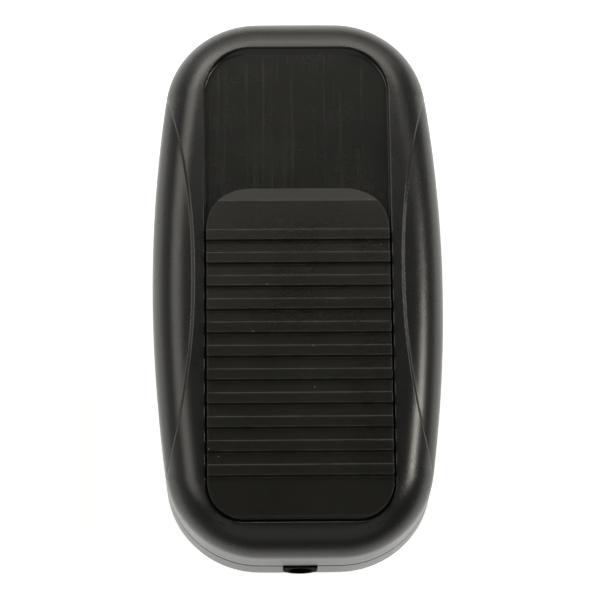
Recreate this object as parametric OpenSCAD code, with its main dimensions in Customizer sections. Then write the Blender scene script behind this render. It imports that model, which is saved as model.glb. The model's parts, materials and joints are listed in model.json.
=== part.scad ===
// Floor dimmer switch: a ribbed foot pedal slides over a potentiometer in a two-part housing.
// The origin is on the floor under the middle of the housing, +Z up. The front end is at -Y.

/* [Housing] */
// Width of the housing across the middle of its bowed sides
body_w = 60; // [56:0.5:66]
// Length of the housing over its two ends
body_l = 115; // [110:0.5:124]
// Radius of the bow in each long side
side_r = 292; // [240:1:400]
// Radius of the four corners in plan
corner_r = 19.3; // [17:0.1:22]
// Radius of the slight bow in each end
end_r = 850; // [500:10:1200]
// Height of the base shell's outer wall
base_h = 6.6; // [6.4:0.1:7.6]
// Height of the cover's upright wall
wall_h = 6.8; // [6:0.1:8]
// Rise of the cover from its upright wall to its crown
crown_h = 9; // [8.4:0.1:10.5]
// Drop of the crown's lengthwise arch from the middle to the ends
crown_drop = 2.1; // [1.4:0.1:2.4]
// Width of the cover's rounded shoulder
shoulder_w = 7.6; // [6.5:0.1:8]
// Thickness of the housing's walls
wall_t = 2.3; // [2:0.1:2.6]
// Thickness of the base shell's floor
floor_t = 2; // [1.8:0.1:2.4]
// Thickness of the roof under the pedal's track
roof_t = 1.8; // [1.4:0.1:2.2]
// Chamfer round the base shell's lower edge
toe_chamfer = 0.5; // [0.2:0.1:0.8]
// Height of the tongue that locates the cover
tongue_h = 1.5; // [1:0.1:1.8]
// Thickness of the tongue
tongue_t = 0.9; // [0.7:0.1:1.1]

/* [Grip bulges] */
// Width of each grip bulge from the housing's side to its crease
grip_w = 8.05; // [7:0.05:9]
// Height of the step at the crease
grip_step = 0.4; // [0.3:0.05:0.8]
// Width of the sloping band that makes the step
grip_band = 0.9; // [0.6:0.1:1.1]
// Fullness of the bulge's section, 2 for an ellipse
grip_full = 2.25; // [2:0.05:3]
// Fullness of the crease's bow, 2 for a parabola
grip_bow = 2.15; // [1.8:0.05:3]

/* [Pedal] */
// Width of the flat strip between the crease and the pedal's track
track_margin = 1.95; // [1.4:0.05:2.6]
// Depth of the track below the crown
track_depth = 2.7; // [2.4:0.1:3]
// Radius of the track's front corners
track_corner_r = 7.8; // [6:0.1:10]
// Radius of the track's rear corners
track_rear_r = 9.6; // [8:0.1:11]
// Distance from the housing's front end to the track
track_front = 6.25; // [5.6:0.05:7]
// Distance from the housing's rear end to the track
track_rear = 7.6; // [7:0.1:8.4]
// Space left behind the pedal at the end of its travel
pedal_spare = 1; // [0.6:0.05:3]
// Gap round the pedal in its track
pedal_gap = 0.35; // [0.25:0.05:0.5]
// Gap under the pedal
pedal_lift = 0.3; // [0.2:0.05:0.4]
// Height of the pedal's top above the crown
pedal_rise = 0.4; // [0.2:0.1:1]
// Run of the slope at the pedal's rear end
bevel_run = 3.2; // [2.6:0.1:5]
// Thickness left at the foot of that slope
bevel_lip = 0.8; // [0.4:0.1:1.2]
// Chamfer at the pedal's front edge
nose_chamfer = 0.5; // [0.3:0.1:0.8]
// Least plain length in front of the last rib
rib_end = 8; // [7.6:0.1:8.6]
// Distance from one rib to the next
rib_pitch = 4.93; // [4.5:0.01:5]
// Width of a rib
rib_w = 2.6; // [2:0.1:3]
// Height of a rib
rib_h = 0.8; // [0.5:0.1:1]
// Width of the slope on each side of a rib
rib_slope = 0.25; // [0.1:0.05:0.4]
// Distance from the pedal's rear end to the first rib
rib_start = 9.45; // [9:0.05:10]
// Width of the stem that joins the pedal to its retainer
stem_w = 10; // [9:0.1:11]
// Length of that stem
stem_l = 7; // [6.5:0.1:7.5]
// Width of the retainer under the roof
retainer_w = 18; // [16:0.5:20]
// Length of the retainer
retainer_l = 24; // [20:0.5:26]
// Thickness of the retainer
retainer_t = 1.8; // [1.5:0.1:2]

/* [Cord entries] */
// Radius of the bore for the cord
cord_r = 2.4; // [2.2:0.05:2.45]
// Height of the cord's axis above the base shell's underside
cord_h = 3.6; // [3.4:0.05:3.7]
// Radius of the rounded notch in the end wall
notch_r = 3.5; // [3.3:0.1:4]
// Rubber left under and over the bore
bush_wall = 0.55; // [0.4:0.05:0.6]
// Length of the cord bush
bush_l = 7.8; // [6.5:0.1:9]
// How far the bush stands out of the end wall
bush_proud = 0.3; // [0.1:0.1:0.6]
// Width of the bush's inner flange
flange_w = 10.4; // [9.5:0.1:12]
// Thickness of that flange
flange_t = 2; // [1.5:0.1:2.5]
// Distance from the end wall's inside to the cord clamp's middle
clamp_in = 9.6; // [9:0.1:11]
// Length of the cord clamp bar across the cord
clamp_l = 18; // [17:0.5:19]
// Width of the cord clamp bar
clamp_w = 6; // [5:0.1:7]
// Thickness of the cord clamp bar
clamp_t = 2.2; // [1.8:0.1:2.6]

/* [Board] */
// Gap between the board and the housing's widest inner width
board_side_gap = 6.7; // [5.6:0.1:7]
// Distance from a cord clamp to the board
board_end_gap = 7.6; // [7:0.1:8.5]
// Thickness of the circuit board
board_t = 1.6; // [1.2:0.1:1.8]
// Height of the posts under the board
post_h = 2; // [1.6:0.1:2.2]
// Radius of the posts under the board
post_r = 2.6; // [2.3:0.1:3]

/* [Potentiometer] */
// Space between the potentiometer's frame and the terminal blocks, both ends together
pot_end_gap = 7.4; // [6:0.1:9]
// Length of the frame beyond the travel of its lever
pot_over = 15; // [14.5:0.1:16]
// Width of the frame
pot_w = 9; // [8.6:0.1:9.6]
// Height of the frame
pot_h = 7; // [6.6:0.1:7.4]
// Thickness of the frame's sheet
pot_sheet = 0.8; // [0.6:0.1:0.9]
// Thickness of the track plate
plate_t = 1.2; // [1:0.1:1.4]
// Length of the wiper carrier
carrier_l = 8; // [7:0.1:9]
// Height of the wiper carrier
carrier_h = 3.4; // [3:0.1:3.6]
// Width of the lever along the travel
lever_l = 4; // [3.4:0.1:4.4]
// Thickness of the lever
lever_t = 1.2; // [1:0.1:1.4]

/* [Parts on the board] */
// Radius of the choke's end plates
choke_r = 6.5; // [6:0.1:7]
// Height of the choke
choke_h = 8.6; // [7.5:0.1:8.8]
// Length of the suppression capacitor as a share of the board's clear length
cap_share = 0.3; // [0.24:0.01:0.32]
// Width of the suppression capacitor
cap_w = 8.5; // [7.5:0.1:9]
// Height of the suppression capacitor
cap_h = 8.4; // [7.5:0.1:8.8]
// Length of the timing capacitor
timer_l = 7; // [6:0.1:7.5]
// Width of the timing capacitor
timer_w = 4.5; // [4:0.1:5.5]
// Height of the timing capacitor
timer_h = 7.5; // [6:0.1:8.5]
// Width of the triac
triac_w = 10; // [9.4:0.1:10.6]
// Length of the triac's moulded body
triac_l = 9; // [8.4:0.1:9.6]
// Thickness of the triac's moulded body
triac_t = 4.4; // [4:0.1:4.8]
// Length of the triac's metal tab
tab_l = 6.4; // [6:0.1:7]
// Thickness of the metal tab
tab_t = 1.3; // [1:0.1:1.5]
// Length of the heatsink as a share of the board's clear length
sink_share = 0.4; // [0.36:0.01:0.42]
// Width of the heatsink
sink_w = 13.4; // [12.8:0.1:14]
// Height of the heatsink's upright side
sink_h = 9.5; // [8:0.1:10.5]
// Thickness of the heatsink's sheet
sink_t = 1.5; // [1.2:0.1:1.8]
// Length of the fuse as a share of the board's clear length
fuse_share = 0.337; // [0.3:0.001:0.35]
// Radius of the fuse's caps
fuse_r = 2.6; // [2.4:0.05:2.8]
// Radius of a resistor
resistor_r = 1.2; // [1:0.05:1.4]
// Length of a resistor's body
resistor_l = 6.5; // [6:0.1:7]
// Radius of the diac
diac_r = 1; // [0.8:0.05:1.2]
// Length of the diac's body
diac_l = 4; // [3.4:0.1:4.6]
// Width of a terminal block
block_w = 11; // [10:0.1:12]
// Length of a terminal block
block_l = 8; // [7:0.1:8.4]
// Height of a terminal block
block_h = 9; // [8:0.1:9.4]

/* [Feet and screws] */
// How far the rubber feet stand below the base shell
foot_stand = 0.6; // [0.4:0.1:0.9]
// Depth of the pockets for the feet
foot_sunk = 0.8; // [0.6:0.1:1]
// Radius of a foot
foot_r = 4; // [3.4:0.1:4.6]
// Distance from the housing's side to a foot
foot_side = 6.9; // [6.2:0.1:8]
// Distance of the feet from the middle as a share of the housing's length
foot_share = 0.25; // [0.22:0.01:0.27]
// Radius of the housing screws' shanks
screw_r = 1.45; // [1.3:0.05:1.5]
// Length of the housing screws' shanks
screw_l = 12; // [11:0.5:13]
// Radius of the housing screws' heads
head_r = 2.7; // [2.4:0.05:2.9]
// Height of the housing screws' heads
head_h = 1.8; // [1.6:0.1:2]
// Radius of the small screws' shanks
small_screw_r = 1; // [0.9:0.05:1.05]
// Radius of the small screws' heads
small_head_r = 1.9; // [1.7:0.05:2]
// Height of the small screws' heads
small_head_h = 1.2; // [1:0.1:1.3]

/* [Hidden] */
$fn = 48;

// Overrun of every cut past the face that it opens
over = 1;
// Clearance of a piece that sits in or round another one
fit = 0.05;
// Clearance of a piece that moves past another one
slip = 0.35;

// Heights above the floor
base_z = foot_stand;
floor_z = base_z + floor_t;
part_z = base_z + base_h;
shoulder_z = part_z + wall_h;
crown_z = shoulder_z + crown_h;
track_z = crown_z - track_depth;
roof_z = track_z - roof_t;
pedal_z = track_z + pedal_lift;
cord_z = base_z + cord_h;
board_z = floor_z + post_h;
deck_z = board_z + board_t;

// Radius of the crown's arch from its drop over half the length
crown_r = ((body_l / 2) ^ 2 + crown_drop ^ 2) / (2 * crown_drop);

// Plan outline: a side arc, a corner arc and an end arc that run tangent into each other
side_centre = [body_w / 2 - side_r, 0];
end_centre = [0, body_l / 2 - end_r];
side_reach = side_r - corner_r;
end_reach = end_r - corner_r;
centre_gap = norm(end_centre - side_centre);
centre_way = (end_centre - side_centre) / centre_gap;
centre_along = (side_reach ^ 2 - end_reach ^ 2 + centre_gap ^ 2) / (2 * centre_gap);
centre_across = sqrt(side_reach ^ 2 - centre_along ^ 2);
corner_centre = side_centre + centre_along * centre_way
  + centre_across * [-centre_way.y, centre_way.x];
side_angle = atan2(corner_centre.y - side_centre.y, corner_centre.x - side_centre.x);
end_angle = atan2(corner_centre.y - end_centre.y, corner_centre.x - end_centre.x);

// Steps along a quarter of the outline
side_steps = 12;
corner_steps = 9;
end_steps = 2;
quarter_steps = side_steps + corner_steps + end_steps;
stations = 4 * quarter_steps;

// A point of the first quarter, moved inwards by inset
function quarter_point(k, inset) =
  let (
    on_side = k <= side_steps,
    on_corner = k <= side_steps + corner_steps,
    centre = on_side ? side_centre : on_corner ? corner_centre : end_centre,
    radius = on_side ? side_r : on_corner ? corner_r : end_r,
    angle = on_side ? side_angle * k / side_steps
      : on_corner ? side_angle + (end_angle - side_angle) * (k - side_steps) / corner_steps
      : end_angle + (90 - end_angle) * (k - side_steps - corner_steps) / end_steps
  )
  centre + (radius - inset) * [cos(angle), sin(angle)];

// The step of the first quarter that station i mirrors
function quarter_step(i) =
  let (quadrant = floor(i / quarter_steps) % 4, k = i % quarter_steps)
  quadrant % 2 == 0 ? k : quarter_steps - k;

// A point of the whole outline, counted anticlockwise from the middle of the right side
function plan_point(i, inset) =
  let (
    quadrant = floor(i / quarter_steps) % 4,
    p = quarter_point(quarter_step(i), inset),
    x_sign = quadrant == 1 || quadrant == 2 ? -1 : 1,
    y_sign = quadrant >= 2 ? -1 : 1
  )
  [x_sign * p.x, y_sign * p.y];

function plan(inset) = [for (i = [0 : stations - 1]) plan_point(i, inset)];

// Outline of a rectangle with round corners, centred on c, with rear_r for the rear two
function round_rect(w, l, r, c = [0, 0], rear_r = 0) = [
  for (quadrant = [0 : 3])
    for (step = [0 : 8])
      let (
        angle = 90 * quadrant + 90 * step / 8,
        x_sign = quadrant == 0 || quadrant == 3 ? 1 : -1,
        y_sign = quadrant < 2 ? 1 : -1,
        turn_r = rear_r > 0 && quadrant < 2 ? rear_r : r
      )
      c + [x_sign * (w / 2 - turn_r), y_sign * (l / 2 - turn_r)]
        + turn_r * [cos(angle), sin(angle)]
];

// Height of the crown at a distance y from the middle
function crown_at(y) = crown_z - crown_r + sqrt(crown_r ^ 2 - y ^ 2);

// Height of the cover's pillow shape at an inset from its outline
function pillow_at(y, inset) =
  let (across = max(0, 1 - inset / shoulder_w))
  shoulder_z + (crown_at(y) - shoulder_z) * sqrt(1 - across ^ 2);

module prism(points, z0, z1) {
  translate([0, 0, z0])
    linear_extrude(height = z1 - z0)
      polygon(points);
}

module box(w, l, z0, z1, c = [0, 0]) {
  translate([c.x - w / 2, c.y - l / 2, z0])
    cube([w, l, z1 - z0]);
}

module rod(r, z0, z1, c = [0, 0]) {
  translate([c.x, c.y, z0])
    cylinder(h = z1 - z0, r = r);
}

// A rod along Y from y0 to y1, on an axis at x and z
module rod_y(r, y0, y1, x = 0, z = 0) {
  translate([x, y1, z])
    rotate([90, 0, 0])
      cylinder(h = y1 - y0, r = r);
}

// A rod along X from x0 to x1, on an axis at y and z
module rod_x(r, x0, x1, y = 0, z = 0) {
  translate([x0, y, z])
    rotate([0, 90, 0])
      cylinder(h = x1 - x0, r = r);
}

// Its children, and the same at the other end
module both_ends() {
  children();
  rotate([0, 0, 180])
    children();
}

// A solid between rings of the outline, each ring an [inset, height]
module ringed_solid(rings) {
  points = [for (ring = rings) for (i = [0 : stations - 1])
    [each plan_point(i, ring[0]), ring[1]]];
  sides = [for (level = [0 : len(rings) - 2]) for (i = [0 : stations - 1])
    let (next = (i + 1) % stations, low = level * stations, high = low + stations)
    [low + i, high + i, high + next, low + next]];
  under = [for (i = [0 : stations - 1]) i];
  top = [for (i = [stations - 1 : -1 : 0]) (len(rings) - 1) * stations + i];
  polyhedron(points = points, faces = concat(sides, [under, top]), convexity = 4);
}

// Pan head screw with a cross recess, head down or up along Z
module pan_screw(shank_r, shank_l, cap_r, cap_h, seat_z, way, c) {
  cross_w = cap_r * cross_w_share;
  cross_l = cap_r * cross_l_share;
  cross_depth = cap_h * cross_depth_share;
  head_low = way > 0 ? seat_z : seat_z - cap_h;
  cut_low = way > 0 ? seat_z + cap_h - cross_depth : seat_z - cap_h - over;
  cut_high = way > 0 ? seat_z + cap_h + over : seat_z - cap_h + cross_depth;
  difference() {
    union() {
      rod(cap_r, head_low, head_low + cap_h, c);
      rod(shank_r, way > 0 ? seat_z - shank_l : seat_z, way > 0 ? seat_z : seat_z + shank_l, c);
    }
    box(cross_w, cross_l, cut_low, cut_high, c);
    box(cross_l, cross_w, cut_low, cut_high, c);
  }
}
cross_w_share = 0.3;
cross_l_share = 1.2;
cross_depth_share = 0.45;

// Top cover

// Steps across the grip bulge and across the shoulder
grip_steps = 5;
shoulder_steps = 6;
// Inset of the last ring before the crown closes over
flat_in = grip_w + grip_band + slip;
first_flat_level = 2 + grip_steps;
level_count = first_flat_level + shoulder_steps + 2;

// Share of the grip's full width at a station, 0 away from the long sides
function grip_share(i) =
  let (k = quarter_step(i))
  k < side_steps ? 1 - (k / side_steps) ^ grip_bow : 0;

// Inset of a level from the start of the pillow shape to the last ring
function pillow_share(j) =
  j > shoulder_steps ? 1 : shoulder_w / flat_in * (1 - cos(90 * j / shoulder_steps));

function cover_point(i, level) =
  let (
    share = grip_share(i),
    crease = grip_w * share,
    start = crease + grip_band * share,
    power = 2 / grip_full,
    span = acos((1 - share) ^ (1 / power)),
    turn = span * (level - 1) / grip_steps,
    on_grip = level > 1 && level < first_flat_level,
    inset = level < 2 ? 0
      : on_grip ? grip_w * (1 - cos(turn) ^ power)
      : start + (flat_in - start) * pillow_share(level - first_flat_level),
    p = plan_point(i, inset),
    rim = plan_point(i, crease),
    crease_z = pillow_at(rim.y, crease) - grip_step * share
  )
  [
    p.x, p.y,
    level == 0 ? part_z
      : level == 1 ? shoulder_z
      : on_grip ? shoulder_z + (crease_z - shoulder_z) * (sin(turn) / sin(span)) ^ power
      : pillow_at(p.y, inset)
  ];

// Where there is no grip, its levels all fall on the shoulder's lower edge
function cover_index(i, level) =
  let (s = i % stations, merged = grip_share(s) == 0 && level > 1 && level <= first_flat_level)
  s * level_count + (merged ? 1 : level);

module cover_form() {
  last = level_count - 1;
  points = [for (i = [0 : stations - 1]) for (level = [0 : last]) cover_point(i, level)];
  sides = [
    for (i = [0 : stations - 1])
      for (level = [0 : last - 1])
        let (
          a = cover_index(i, level),
          b = cover_index(i, level + 1),
          c = cover_index(i + 1, level + 1),
          d = cover_index(i + 1, level)
        )
        for (face = [[a, b, c], [a, c, d]])
          if (face[0] != face[1] && face[1] != face[2] && face[2] != face[0])
            face
  ];
  crown = [
    for (i = [-quarter_steps : quarter_steps - 1])
      let (
        a = cover_index(i + stations, last),
        b = cover_index(2 * quarter_steps - i, last),
        c = cover_index(2 * quarter_steps - i - 1, last),
        d = cover_index(i + 1 + stations, last)
      )
      a == b ? [a, c, d] : c == d ? [a, b, c] : [a, b, c, d]
  ];
  under = [for (i = [0 : stations - 1]) cover_index(i, 0)];
  polyhedron(points = points, faces = concat(sides, crown, [under]), convexity = 6);
}

track_w = body_w - 2 * (grip_w + grip_band + track_margin);
track_y0 = -body_l / 2 + track_front;
track_y1 = body_l / 2 - track_rear;
track_mid = (track_y0 + track_y1) / 2;

// Cord clamps, and the board between them
end_wall_y = body_l / 2 - wall_t;
clamp_y = end_wall_y - clamp_in;
board_w = body_w - 2 * (wall_t + board_side_gap);
board_l = 2 * (clamp_y - clamp_w / 2 - board_end_gap);
board_c = [board_w / 2 - post_r, board_l / 2 - post_r];

// The potentiometer fills the board between the terminal blocks and sets the travel
block_edge = 0.8;
pot_l = board_l - 2 * (block_edge + block_l) - pot_end_gap;
travel = pot_l - pot_over;

pedal_w = track_w - 2 * pedal_gap;
pedal_l = track_y1 - track_y0 - pedal_gap - travel - pedal_spare;
pedal_y0 = track_y0 + pedal_gap;
pedal_y1 = pedal_y0 + pedal_l;
pedal_mid = (pedal_y0 + pedal_y1) / 2;
slot_w = stem_w + 2 * slip;
slot_l = stem_l + travel + 2 * slip;
slot_mid = pedal_mid + travel / 2;

// Insets and height of the step inside the cover's shoulder
step_in_share = 0.167;
step_rise_share = 0.2;
rebate_in = wall_t - tongue_t - slip / 2;
upper_in = wall_t + shoulder_w * step_in_share;
upper_z = shoulder_z + crown_h * step_rise_share;

// Housing screws
boss_r = 3.2;
boss_wall = 0.9;
boss_gap = 0.6;
base_boss_r = head_r + slip + boss_wall;
boss_y = board_l / 2 + boss_gap + base_boss_r;
boss_c = [
  side_centre.x + sqrt(side_r ^ 2 - boss_y ^ 2) - wall_t - boss_gap - base_boss_r,
  boss_y
];
screw_sunk = 0.3;
seat_z = base_z + screw_sunk + head_h;

// Its children at each of the four corners given by c
module four(c) {
  for (x_sign = [-1, 1])
    for (y_sign = [-1, 1])
      translate([x_sign * c.x, y_sign * c.y, 0])
        children();
}

module top_cover() {
  color([0.11, 0.11, 0.12])
    difference() {
      union() {
        difference() {
          cover_form();
          prism(plan(wall_t), part_z - over, upper_z);
          prism(plan(rebate_in), part_z - over, part_z + tongue_h + slip);
          prism(plan(upper_in), upper_z - over, roof_z);
        }
        four(boss_c)
          rod(boss_r, part_z + fit, roof_z + fit);
      }
      prism(round_rect(track_w, track_y1 - track_y0, track_corner_r, [0, track_mid], track_rear_r),
        track_z, crown_z + over);
      prism(round_rect(slot_w, slot_l, slip, [0, slot_mid]), roof_z - over, track_z + over);
      four(boss_c)
        rod(screw_r + fit, part_z - over, seat_z + screw_l + slip);
    }
}

// Base shell

notch_z = cord_z - cord_r - bush_wall + notch_r;
channel_y = end_wall_y - clamp_in - clamp_w / 2 - slip;
bush_y1 = body_l / 2 + bush_proud;
bush_y0 = bush_y1 - bush_l;
clamp_post_r = 2.5;
clamp_bite = 0.3;
clamp_z = cord_z + cord_r - clamp_bite;
clamp_x = clamp_l / 2 - clamp_post_r;
clamp_screw_l = 5;
board_screw_l = 4;
foot_c = [body_w / 2 - foot_side - foot_r, body_l * foot_share];

// Section of the notch and of the bush: round below, upright sides and a flat top above
module notch_section(r, top_z, y0, y1) {
  wide = 2 * r + over;
  translate([-r, y0, notch_z])
    cube([2 * r, y1 - y0, top_z - notch_z]);
  difference() {
    rod_y(r, y0, y1, 0, notch_z);
    translate([-wide / 2, y0 - over, notch_z + r / 4])
      cube([wide, y1 - y0 + 2 * over, r]);
  }
}

module base_shell() {
  color([0.12, 0.12, 0.13])
    difference() {
      union() {
        difference() {
          union() {
            ringed_solid([
              [toe_chamfer, base_z], [0, base_z + toe_chamfer], [0, part_z]
            ]);
            prism(plan(wall_t - tongue_t), part_z - over, part_z + tongue_h);
          }
          prism(plan(wall_t), floor_z, part_z + tongue_h + over);
        }
        four(boss_c)
          rod(base_boss_r, floor_z - fit, part_z);
        four(board_c)
          rod(post_r, floor_z - fit, board_z);
        both_ends()
          for (x_sign = [-1, 1])
            rod(clamp_post_r, floor_z - fit, clamp_z, [x_sign * clamp_x, clamp_y]);
      }
      four(boss_c) {
        rod(head_r + slip, base_z - over, seat_z);
        rod(screw_r + fit, base_z - over, part_z + over);
      }
      four(board_c)
        rod(small_screw_r + fit, deck_z - board_screw_l - fit, board_z + over);
      four(foot_c)
        rod(foot_r + fit, base_z - over, base_z + foot_sunk);
      both_ends() {
        notch_section(notch_r + fit, part_z + tongue_h + over, bush_y0 - fit, bush_y1 + over);
        rod_y(cord_r + slip, channel_y, bush_y0, 0, cord_z);
        for (x_sign = [-1, 1])
          rod(small_screw_r + fit, clamp_z + clamp_t - clamp_screw_l - fit, clamp_z + over,
            [x_sign * clamp_x, clamp_y]);
      }
    }
}

// Foot pedal and what moves with it

function pedal_top(y) = crown_at(y) + pedal_rise;

rib_count = 1 + floor((pedal_l - rib_start - rib_w - rib_end) / rib_pitch);

stem_mid = pedal_mid;
retainer_z1 = roof_z - pedal_lift;
retainer_z0 = retainer_z1 - retainer_t;
stem_screw_x = stem_w / 2 - small_screw_r - lever_t / 2;
stem_screw_l = 4.4;
lever_z1 = roof_z + roof_t / 2;

// Side view of the pedal, from the front edge over the ribs to the rear slope
function pedal_profile() = concat(
  [[pedal_y0, pedal_z], [pedal_y0, pedal_top(pedal_y0) - nose_chamfer],
    [pedal_y0 + nose_chamfer, pedal_top(pedal_y0)]],
  [for (k = [rib_count - 1 : -1 : 0])
    let (
      rear = pedal_y1 - rib_start - k * rib_pitch,
      front = rear - rib_w
    )
    each [
      [front, pedal_top(front)],
      [front + rib_slope, pedal_top(front) + rib_h],
      [rear - rib_slope, pedal_top(rear) + rib_h],
      [rear, pedal_top(rear)]
    ]],
  [[pedal_y1 - bevel_run, pedal_top(pedal_y1 - bevel_run)],
    [pedal_y1, pedal_z + bevel_lip], [pedal_y1, pedal_z]]
);

module foot_pedal() {
  color([0.13, 0.13, 0.14])
    difference() {
      union() {
        intersection() {
          translate([-pedal_w / 2, 0, 0])
            rotate([90, 0, 90])
              linear_extrude(height = pedal_w)
                polygon(pedal_profile());
          prism(
            round_rect(pedal_w, pedal_l, track_corner_r - pedal_gap, [0, pedal_mid],
              track_rear_r - pedal_gap),
            pedal_z - over, crown_z + pedal_rise + rib_h + over
          );
        }
        box(stem_w, stem_l, retainer_z1, pedal_z + fit, [0, stem_mid]);
      }
      box(lever_t + 2 * fit, lever_l + 2 * fit, retainer_z1 - over, lever_z1 + fit,
        [0, stem_mid]);
      for (x_sign = [-1, 1])
        rod(small_screw_r + fit, retainer_z1 - over, retainer_z0 + stem_screw_l + fit,
          [x_sign * stem_screw_x, stem_mid]);
    }
}

module pedal_retainer() {
  color([0.85, 0.84, 0.8])
    difference() {
      prism(round_rect(retainer_w, retainer_l, retainer_t, [0, stem_mid]),
        retainer_z0, retainer_z1);
      box(lever_t + 2 * slip, lever_l + 2 * slip, retainer_z0 - over, retainer_z1 + over,
        [0, stem_mid]);
      for (x_sign = [-1, 1])
        rod(small_screw_r + fit, retainer_z0 - over, retainer_z1 + over,
          [x_sign * stem_screw_x, stem_mid]);
    }
}

module retainer_screws() {
  color([0.75, 0.75, 0.77])
    for (x_sign = [-1, 1])
      pan_screw(small_screw_r, stem_screw_l, small_head_r, small_head_h, retainer_z0, -1,
        [x_sign * stem_screw_x, stem_mid]);
}

// Slide potentiometer

pot_mid = stem_mid + travel / 2;
pot_z1 = deck_z + pot_h;
plate_z1 = deck_z + plate_t;
carbon_t = 0.1;
carbon_w = 1.5;
carbon_x = 1.8;
contact_t = 0.4;
contact_z = plate_z1 + carbon_t + carbon_t;
carrier_z = contact_z + contact_t;
carrier_w = pot_w - 2 * pot_sheet - 2 * slip;

module pot_frame() {
  inner_w = pot_w - 2 * pot_sheet;
  inner_l = pot_l - 2 * pot_sheet;
  color([0.7, 0.71, 0.72])
    difference() {
      box(pot_w, pot_l, deck_z, pot_z1, [0, pot_mid]);
      box(inner_w, inner_l, deck_z - over, pot_z1 - pot_sheet, [0, pot_mid]);
      box(lever_t + 2 * slip, travel + lever_l + 2 * slip, deck_z, pot_z1 + over,
        [0, pot_mid]);
    }
}

module pot_track_plate() {
  color([0.55, 0.38, 0.2])
    box(pot_w - 2 * pot_sheet - 2 * fit, pot_l - 2 * pot_sheet - 2 * fit, deck_z, plate_z1,
      [0, pot_mid]);
}

module carbon_tracks() {
  color([0.06, 0.06, 0.06])
    for (x_sign = [-1, 1])
      box(carbon_w, travel + carrier_l, plate_z1, plate_z1 + carbon_t,
        [x_sign * carbon_x, pot_mid]);
}

module wiper_carrier() {
  color([0.9, 0.9, 0.88])
    union() {
      box(carrier_w, carrier_l, carrier_z, carrier_z + carrier_h, [0, stem_mid]);
      box(lever_t, lever_l, carrier_z + carrier_h - fit, lever_z1, [0, stem_mid]);
    }
}

module wiper_contacts() {
  color([0.83, 0.68, 0.35])
    for (x_sign = [-1, 1])
      box(carbon_w - 2 * carbon_t, carrier_l / 2, contact_z, carrier_z,
        [x_sign * carbon_x, stem_mid]);
}

// Circuit board

module circuit_board() {
  color([0.13, 0.33, 0.2])
    difference() {
      prism(round_rect(board_w, board_l, board_t), board_z, deck_z);
      four(board_c)
        rod(small_screw_r + fit, board_z - over, deck_z + over);
    }
}

module board_screws() {
  color([0.75, 0.75, 0.77])
    four(board_c)
      pan_screw(small_screw_r, board_screw_l, small_head_r, small_head_h, deck_z, 1, [0, 0]);
}

// Parts to the right of the potentiometer

part_gap = 0.8;
clear_y = board_c.y - small_head_r - part_gap;
cap_l = 2 * clear_y * cap_share;
sink_l = 2 * clear_y * sink_share;
fuse_l = 2 * clear_y * fuse_share;
right_x = max(pot_w, block_w) / 2 + part_gap;
sink_x = right_x + sink_w / 2;
sink_y1 = clear_y;
sink_mid = sink_y1 - sink_l / 2;
triac_x = right_x + triac_w / 2;
tab_y1 = sink_y1 - part_gap;
triac_y1 = tab_y1 - tab_l;
triac_y0 = triac_y1 - triac_l;
sink_top = deck_z + sink_t;
tab_hole_r = 1.6;
tab_hole_y = tab_y1 - tab_l / 2;
nut_h = 1.2;
lead_w = 0.9;
lead_t = 0.6;
lead_pitch = 2.54;
lead_y = sink_y1 - sink_l - part_gap - lead_t;

module heatsink() {
  color([0.78, 0.79, 0.8])
    difference() {
      union() {
        box(sink_w, sink_l, deck_z, sink_top, [sink_x, sink_mid]);
        translate([right_x + sink_w - sink_t, sink_mid - sink_l / 2, deck_z])
          cube([sink_t, sink_l, sink_h]);
      }
      rod(tab_hole_r, deck_z - over, sink_top + over, [triac_x, tab_hole_y]);
    }
}

module triac() {
  lead_z = sink_top + triac_t / 2;
  color([0.1, 0.1, 0.1])
    difference() {
      union() {
        box(triac_w, triac_l, sink_top, sink_top + triac_t,
          [triac_x, (triac_y0 + triac_y1) / 2]);
        box(triac_w, tab_l + fit, sink_top, sink_top + tab_t,
          [triac_x, (triac_y1 + tab_y1 - fit) / 2]);
        for (k = [-1 : 1]) {
          box(lead_w, triac_y0 + fit - lead_y, lead_z, lead_z + lead_t,
            [triac_x + k * lead_pitch, (triac_y0 + fit + lead_y) / 2]);
          box(lead_w, lead_t, deck_z, lead_z + lead_t,
            [triac_x + k * lead_pitch, lead_y + lead_t / 2]);
        }
      }
      rod(tab_hole_r, sink_top - over, sink_top + tab_t + over, [triac_x, tab_hole_y]);
    }
}

module triac_screw() {
  color([0.75, 0.75, 0.77])
    pan_screw(tab_hole_r - fit, sink_t + tab_t, small_head_r + tab_hole_r - small_screw_r,
      small_head_h, sink_top + tab_t, 1, [triac_x, tab_hole_y]);
}

// Fuse in its two clips, in front of the triac
fuse_cap_l = 5;
glass_share = 0.904;
fuse_glass_r = fuse_r * glass_share;
clip_t = 0.5;
clip_w = 3.6;
fuse_x = right_x + clip_t + fuse_r + part_gap;
fuse_y0 = -clear_y;
fuse_y1 = fuse_y0 + fuse_l;
fuse_z = deck_z + clip_t + fuse_r + part_gap;

module fuse_tube() {
  color([0.85, 0.9, 0.92])
    rod_y(fuse_glass_r, fuse_y0 + fuse_cap_l, fuse_y1 - fuse_cap_l, fuse_x, fuse_z);
}

module fuse_caps() {
  color([0.8, 0.8, 0.82]) {
    rod_y(fuse_r, fuse_y0, fuse_y0 + fuse_cap_l, fuse_x, fuse_z);
    rod_y(fuse_r, fuse_y1 - fuse_cap_l, fuse_y1, fuse_x, fuse_z);
  }
}

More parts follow.
